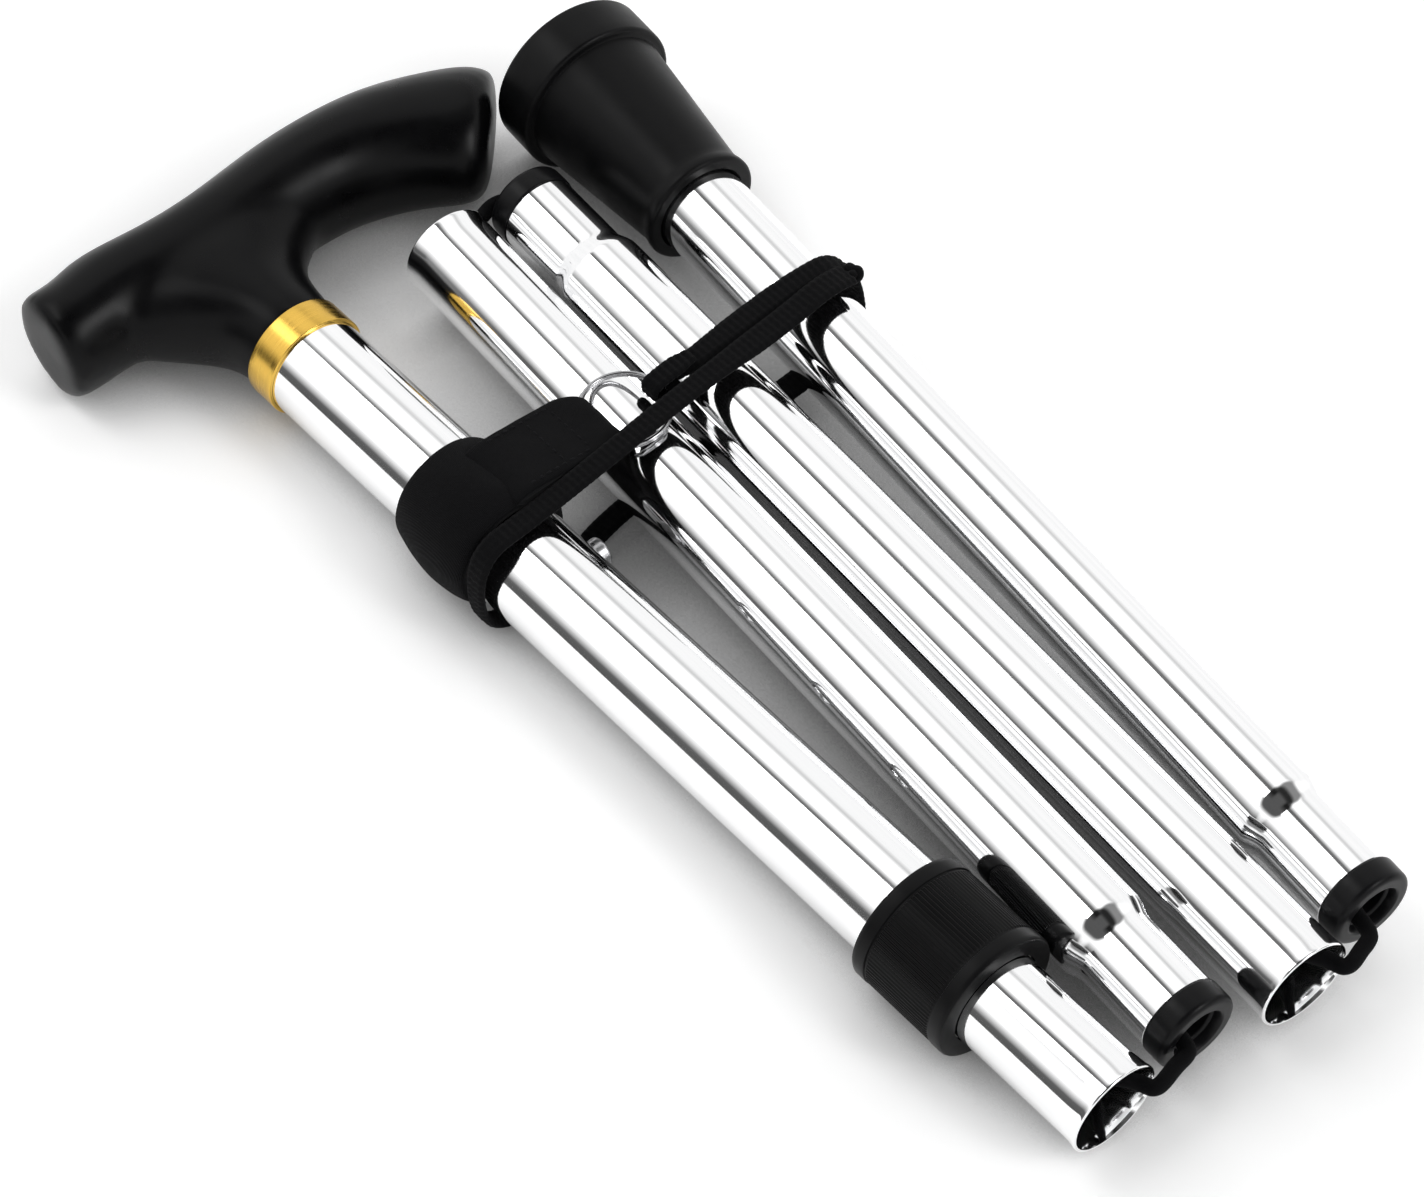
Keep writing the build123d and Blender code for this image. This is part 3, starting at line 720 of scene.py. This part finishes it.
def turn_route(number):
    """Control points of the elastic cord's turn at a fold, in the row frame."""
    here, mouth_x, _ = BEFORE[number]
    side, front = fold_side(number), TURN_FRONT[number]
    a = [(-13.6, 0.0), (-6.0, 3.5), (-1.2, 7.4), (1.8, 7.6), (2.0, 10.2)]
    b = [(front - 2.1, 7.0), (front * 0.8 - 2.0, 3.2), (1.0, 3.3), (6.0, 2.0), (13.6, 0.0)]
    out = [here @ (Vector((mouth_x + x, side * y, 0)) * MM) for x, y in a]
    return out + [SECTIONS[number] @ (Vector((x, side * y, 0)) * MM) for x, y in b]


for number, (here, _, body) in enumerate(BEFORE):
    points = spline_points("bend_line", turn_route(number), order=4, resolution=12)
    bend = tube_along(f"elastic_turn_{number + 1}", points, TURN_R * MM)
    paint(bend, ELASTIC)
    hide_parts(f"elastic_bend_{number + 1}")
    along = here.to_3x3() @ Vector((1, 0, 0))
    step_out = points[-1] - points[0]
    step_out -= along * step_out.dot(along)
    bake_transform(bend)

# ---------------------------------------------------------------- split ring
SPLIT_R, SPLIT_WIRE, SPLIT_TURNS, SPLIT_STEPS = 9.2, 0.46, 2, 96
SPLIT_LIFT, SPLIT_START = 0.86, 0.7                        # rise over both turns, and the angle of the wire's end
ring_low, ring_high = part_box("split_ring")
ring_mid = (ring_low + ring_high) / 2


def make_split_ring():
    centre = PLANE_BACK @ ring_mid
    count = SPLIT_TURNS * SPLIT_STEPS
    points = []
    for i in range(count + 1):
        a = 2 * math.pi * i / SPLIT_STEPS + SPLIT_START
        lift = (i / count - 0.5) * SPLIT_LIFT
        points.append(PLANE @ (centre + Vector((SPLIT_R * math.cos(a), SPLIT_R * math.sin(a), lift)) * MM))
    return tube_along("split_ring_wire", points, SPLIT_WIRE * MM, 14)


piece(make_split_ring(), "handle_section", CHROME, "ring_steel", "split_ring")

# ---------------------------------------------------------------- strap
SLEEVE_OUTLINE = (
    (41.5, 11.7), (41.55, 12.1), (41.9, 12.5), (42.6, 12.85), (44.2, 13.3), (46.5, 13.8), (49.5, 14.3), (53.0, 14.6),
    (56.0, 14.6), (58.5, 14.4), (60.3, 14.0), (61.6, 13.6), (62.5, 13.15), (62.9, 12.7), (63.0, 12.2), (62.9, 11.7),
)
SLEEVE_INSIDE = (62.6, 58.0, 52.0, 46.0, 41.8)
SLEEVE_SHIFT = (-0.6, 0.9)                                 # of its outside from the tube's axis, in Y and Z
SLEEVE_LOWEST, SLEEVE_LEAST = -13.7, 11.25                 # it stays over the floor and outside the tube
SLEEVE_CRUMPLE, FLAP_CRUMPLE = (7.0, 0.22), (6.0, 0.16)    # width of the folds, and their depth
FLAP_TOP = [
    (1.0, 13.4), (1.8, 15.0), (4.5, 15.45), (8.0, 15.25), (13.0, 14.5), (18.0, 13.6), (22.0, 12.95), (25.5, 12.55),
    (27.6, 12.3),
]
FLAP_END = [(28.9, 11.9), (29.3, 11.2), (29.3, 10.4), (28.9, 9.6)]
FLAP_UNDER = [(27.4, 9.25), (25.0, 9.1), (22.0, 9.0), (18.0, 8.7), (14.6, 7.9), (12.8, 6.8), (11.6, 6.0), (8.5, 8.0)]
FLAP_LEFT, FLAP_RIGHT = 46.6, 63.0
# How the flap thins to its sides, as (distance in from the side, how far its faces are set in there)
FLAP_EDGE = [(0.0, 0.85), (0.10, 0.48), (0.35, 0.20), (0.8, 0.04), (1.4, 0.0)]
FLAP_BORDER, FLAP_COLUMNS = 1.4, 14
TUNNEL_R = 1.15
STITCH_PITCH, STITCH_HALF, STITCH_FAT = 1.9, 0.72, 0.24
STITCH_ROWS = (
    ((48.1, 6.0), (48.1, 21.6)), ((61.6, 6.0), (61.6, 21.6)),
    ((48.9, 21.6), (60.9, 21.6)), ((48.9, 15.4), (60.9, 15.4)),
)


def crumple(place, size, depth):
    """Smooth wander of a cloth surface, in millimetres."""
    return depth * (noise.noise(place / size) + 0.5 * noise.noise(place / size * 2.3 + Vector((7.1, 3.3, 1.9))))


def make_sleeve():
    """Padded webbing band round the outer tube, fuller in the middle and thicker at its top."""
    around = 192
    verts = []
    for x, r in SLEEVE_OUTLINE:
        for c, s in circle(around):
            reach = r + crumple(Vector((x, 14 * c, 14 * s)), *SLEEVE_CRUMPLE) * min(1, (r - 11.6) / 1.2)
            y, z = SLEEVE_SHIFT[0] + reach * c, SLEEVE_SHIFT[1] + reach * s
            z = max(z, SLEEVE_LOWEST)
            clear = math.hypot(y, z)
            if clear < SLEEVE_LEAST:
                y, z = y * SLEEVE_LEAST / clear, z * SLEEVE_LEAST / clear
            verts.append(P(x, y, z))
    verts += [P(x, FITTED_BORE * c, FITTED_BORE * s) for x in SLEEVE_INSIDE for c, s in circle(around)]
    rows = len(SLEEVE_OUTLINE) + len(SLEEVE_INSIDE)
    obj = add_mesh("strap_sleeve_webbing", verts, grid_faces(rows, around, closed=True))
    obj.modifiers.new("smooth", "SUBSURF").levels = 1
    return apply_modifiers(obj)


def rounded(outline):
    """Closed outline with its corners cut twice."""
    for _ in range(2):
        cut = []
        for a, b in zip(outline, outline[1:] + outline[:1]):
            cut.append((0.75 * a[0] + 0.25 * b[0], 0.75 * a[1] + 0.25 * b[1]))
            cut.append((0.25 * a[0] + 0.75 * b[0], 0.25 * a[1] + 0.75 * b[1]))
        outline = cut
    return outline


def flap_edges(y):
    """Where the flap's two side edges are: it draws in a little round the ring."""
    t = max(0.0, (y - 22.5) / 6.8)
    return FLAP_LEFT + 3.3 * t ** 2.2, FLAP_RIGHT + 0.9 * clamp((y - 12) / 12) - 1.4 * t ** 3


def make_flap():
    """Webbing flap from the sleeve to the split ring, with soft edges and a tunnel for the ring."""
    outline = rounded(FLAP_TOP + FLAP_END + FLAP_UNDER)
    count = len(outline)
    normals = []
    for i in range(count):
        a, b = outline[i - 1], outline[(i + 1) % count]
        dy, dz = b[0] - a[0], b[1] - a[1]
        size = math.hypot(dy, dz)
        normals.append((dz / size, -dy / size))
    columns = [("left", t, inset) for t, inset in FLAP_EDGE]
    columns += [("middle", (i + 1) / FLAP_COLUMNS, 0.0) for i in range(FLAP_COLUMNS - 1)]
    columns += [("right", t, inset) for t, inset in reversed(FLAP_EDGE)]
    verts = []
    for kind, t, inset in columns:
        for (y, z), (ny, nz) in zip(outline, normals):
            left, right = flap_edges(y)
            inner = left + FLAP_BORDER + (right - left - 2 * FLAP_BORDER) * t
            x = {"left": left + t, "middle": inner, "right": right - t}[kind]
            lift = crumple(Vector((x, y, z)), *FLAP_CRUMPLE)
            verts.append(P(x, y + ny * inset - ny * lift, z + nz * inset - nz * lift))
    obj = add_mesh("strap_flap_webbing", verts, grid_faces(len(columns), count) + end_caps(len(columns), count))
    bpy.ops.mesh.primitive_torus_add(
        major_segments=96, minor_segments=16, major_radius=SPLIT_R * MM, minor_radius=TUNNEL_R * MM,
    )
    cut_away(obj, Matrix.Translation(ring_mid) @ PLANE.to_3x3().to_4x4())
    sharpen(obj, 50)
    return obj


def flap_height(y):
    for (y0, z0), (y1, z1) in zip(FLAP_TOP[2:], FLAP_TOP[3:]):
        if y0 <= y <= y1:
            return z0 + (z1 - z0) * (y - y0) / (y1 - y0)
    return FLAP_TOP[-1][1]


def make_stitches():
    """Rows of thread that hold the flap: a box before the ring, and one line along each side."""
    rings, around = 7, 8
    verts, faces = [], []
    for (x0, y0), (x1, y1) in STITCH_ROWS:
        number = round(math.hypot(x1 - x0, y1 - y0) / STITCH_PITCH)
        for i in range(number):
            t = (i + 0.5) / number
            x, y = x0 + (x1 - x0) * t, y0 + (y1 - y0) * t
            slope = (flap_height(y + 0.5) - flap_height(y - 0.5)) if y1 != y0 else 0.0
            along = Vector((x1 - x0, y1 - y0, 0)).normalized()
            along = (along + Vector((0, 0, slope * along.y))).normalized()
            side = Vector((0, 0, 1)).cross(along).normalized()
            up = along.cross(side)
            centre = Vector((x, y, flap_height(y) + crumple(Vector((x, y, 13.0)), *FLAP_CRUMPLE) + 0.02))
            start = len(verts)
            for j in range(rings):
                u = -1 + 2 * j / (rings - 1)
                fat = STITCH_FAT * math.sqrt(max(0.0, 1 - abs(u) ** 3)) + 0.02
                for c, s in circle(around):
                    place = centre + along * u * STITCH_HALF + side * c * fat + up * (s * fat - 0.10 * u * u)
                    verts.append(P(*place))
            faces += grid_faces(rings, around, start=start) + end_caps(rings, around, start)
    return add_mesh("strap_stitches", verts, faces)


piece(make_sleeve(), "handle_section", WEBBING, "strap_fabric", "strap_sleeve")
piece(make_flap(), "handle_section", WEBBING, "strap_fabric", "strap_loop")
piece(make_stitches(), "handle_section", THREAD, "strap_fabric")

# ---------------------------------------------------------------- carried-over CAD nodes
CARRIED = {
    "lock_bush": NYLON, "snap_spring": STEEL, "snap_button": STEEL, "upper_anchor": NYLON, "lower_anchor": NYLON,
    "tip_washer": STEEL, "elastic_inner": ELASTIC, "elastic_1": ELASTIC, "elastic_2": ELASTIC, "elastic_3": ELASTIC,
}
for name, mat in CARRIED.items():
    paint(NODES[name], mat)

# ---------------------------------------------------------------- stage and light
FLOOR_HALF = 6.0
FLOOR_GLOW = 0.26                                          # seen by the camera and in reflections alone; its colour carries the floor's painted shade
PAINTED_SHADE_REACH = 0.035                                       # reach of the painted shade that darkens the floor at the cane's foot and between its tubes
PAINTED_SHADE_TONES = ((0.05, 0.07), (0.66, 0.97))                # painted shade: the floor's grey for each share of open sky
WORLD_STRENGTH = 1.14
# Studio light round the cane's length, as (degrees from the +Y horizon over the top, brightness)
LIGHT_ROUND = (
    (0, 0.86), (40, 0.86), (49, 0.55), (57, 1.0), (82, 1.0), (91, 0.15), (98, 0.12), (108, 0.7), (112, 1.0),
    (146, 1.0), (155, 0.55), (165, 0.10), (180, 0.08),
)
# Share of that light along the row frame's X axis, from -1 at 0 to 1 at 1. Between its two stretches, and before the
# first, the light is plain
LIGHT_ALONG = ((0.12, 0), (0.20, 1), (0.54, 1), (0.60, 0), (0.66, 0), (0.74, 1))
# Along X the light round the length turns into its mirror image in Y between these two
MIRROR = (0.2, 0.3)
# Where along X the plain light changes, and from what brightness to what
PLAIN_ALONG, PLAIN_LIGHT = (-0.5, 0.2), (0.86, 1.0)
# What else shines back: direction, full and faded angle in radians, brightness. The first two are dark, and show in
# the tubes' shoulders; the last is a soft lamp that shows on the handle, the collar and the ferrule
SPOTS = (
    (Vector((0.26, -0.26, 0.93)).normalized(), 0.48, 0.70, 0.08),
    (Vector((0.20, 0.36, 0.91)).normalized(), 0.24, 0.44, 0.22),
    (Vector((0.70, 0.22, 0.68)).normalized(), 0.10, 0.34, 7.0),
)


def grey_ramp(tree, factor, stops):
    """Greys along a factor, with a stop for each position and value."""
    node = add_node(tree, "ShaderNodeValToRGB", {"Fac": factor})
    elements = node.color_ramp.elements
    elements[0].position, elements[1].position = stops[0][0], stops[-1][0]
    for position, _ in stops[1:-1]:
        elements.new(position)
    for element, (_, value) in zip(elements, stops):
        element.color = (value, value, value, 1)
    return node.outputs[0]


def make_stage():
    mesh = bpy.data.meshes.new("floor")
    corners = [(x * FLOOR_HALF, y * FLOOR_HALF, 0) for x, y in ((-1, -1), (1, -1), (1, 1), (-1, 1))]
    mesh.from_pydata(corners, [], [(0, 1, 2, 3)])
    floor = link("floor", mesh)
    mat = material("floor_white", (1, 1, 1), 0.9, Specular_IOR_Level=0.1)
    tree = mat.node_tree
    bsdf = tree.nodes["Principled BSDF"]
    # Painted shade: ambient occlusion darkens the floor's colour near the cane, under it and between its tubes
    hollow = add_node(tree, "ShaderNodeAmbientOcclusion", {"Distance": PAINTED_SHADE_REACH}, samples=8)
    tone = grey_ramp(tree, hollow.outputs["AO"], PAINTED_SHADE_TONES)
    tree.links.new(tone, bsdf.inputs["Base Color"])
    glow = add_node(tree, "ShaderNodeEmission", {"Color": tone, "Strength": FLOOR_GLOW})
    rays = add_node(tree, "ShaderNodeLightPath").outputs
    seen = add_node(
        tree, "ShaderNodeMath", {0: rays["Is Camera Ray"], 1: rays["Is Glossy Ray"]}, operation="MAXIMUM",
    )
    both = add_node(tree, "ShaderNodeAddShader", {0: bsdf.outputs[0], 1: glow.outputs[0]})
    mix = add_node(tree, "ShaderNodeMixShader", {0: seen.outputs[0], 1: bsdf.outputs[0], 2: both.outputs[0]})
    tree.links.new(mix.outputs[0], tree.nodes["Material Output"].inputs["Surface"])
    mesh.materials.append(mat)


def make_world():
    """Banded light round the cane's length, plain at its ends, with a white background for the camera."""
    world = bpy.data.worlds.new("studio")
    bpy.context.scene.world = world
    world.use_nodes = True
    tree = world.node_tree

    def maths(operation, *inputs):
        return add_node(tree, "ShaderNodeMath", dict(enumerate(inputs)), operation=operation).outputs[0]

    def span(value, low, high, to_low, to_high, **props):
        values = {"Value": value, "From Min": low, "From Max": high, "To Min": to_low, "To Max": to_high}
        return add_node(tree, "ShaderNodeMapRange", values, **props).outputs[0]

    direction = add_node(tree, "ShaderNodeTexCoord").outputs["Generated"]
    x, y, z = add_node(tree, "ShaderNodeSeparateXYZ", {0: direction}).outputs
    across = maths("MULTIPLY", y, span(x, *MIRROR, 1.0, -1.0))
    round_share = maths("DIVIDE", maths("ARCTAN2", z, across), math.pi)
    bands = grey_ramp(tree, round_share, [(degrees / 180, value) for degrees, value in LIGHT_ROUND])
    banded = grey_ramp(tree, maths("MULTIPLY_ADD", x, 0.5, 0.5), LIGHT_ALONG)
    even = span(x, *PLAIN_ALONG, *PLAIN_LIGHT)
    lit = add_node(tree, "ShaderNodeMix", {0: banded, 6: even, 7: bands}, data_type="RGBA").outputs[2]
    for spot, full, faded, brightness in SPOTS:
        dot = add_node(tree, "ShaderNodeVectorMath", {0: direction, 1: spot}, operation="DOT_PRODUCT")
        limits = (math.cos(faded), math.cos(full), 1.0, brightness)
        share = span(dot.outputs["Value"], *limits, interpolation_type="SMOOTHSTEP")
        lit = add_node(tree, "ShaderNodeVectorMath", {0: lit, 1: share}, operation="MULTIPLY").outputs[0]
    seen = add_node(tree, "ShaderNodeLightPath").outputs["Is Camera Ray"]
    mix = add_node(tree, "ShaderNodeMix", {0: seen, 6: lit, 7: (1, 1, 1, 1)}, data_type="RGBA")
    background = tree.nodes["Background"]
    background.inputs["Strength"].default_value = WORLD_STRENGTH
    tree.links.new(mix.outputs[2], background.inputs["Color"])


def strip_light(name, place, aim, size, power):
    """Soft box whose long side runs along the row frame's X axis."""
    data = bpy.data.lights.new(name, "AREA")
    data.shape = "RECTANGLE"
    data.size, data.size_y = size
    data.energy = power
    obj = link(name, data)
    back = (Vector(place) - Vector(aim)).normalized()
    side = (Vector((1, 0, 0)) - back * back.x).normalized()
    obj.matrix_world = axes_at(Vector(place), side, back.cross(side), back)


make_stage()
make_world()
strip_light("key", place=(-0.78, -0.42, 1.40), aim=(0, 0, 0), size=(1.1, 0.55), power=4.5)
bpy.context.scene.view_settings.view_transform = "Standard"
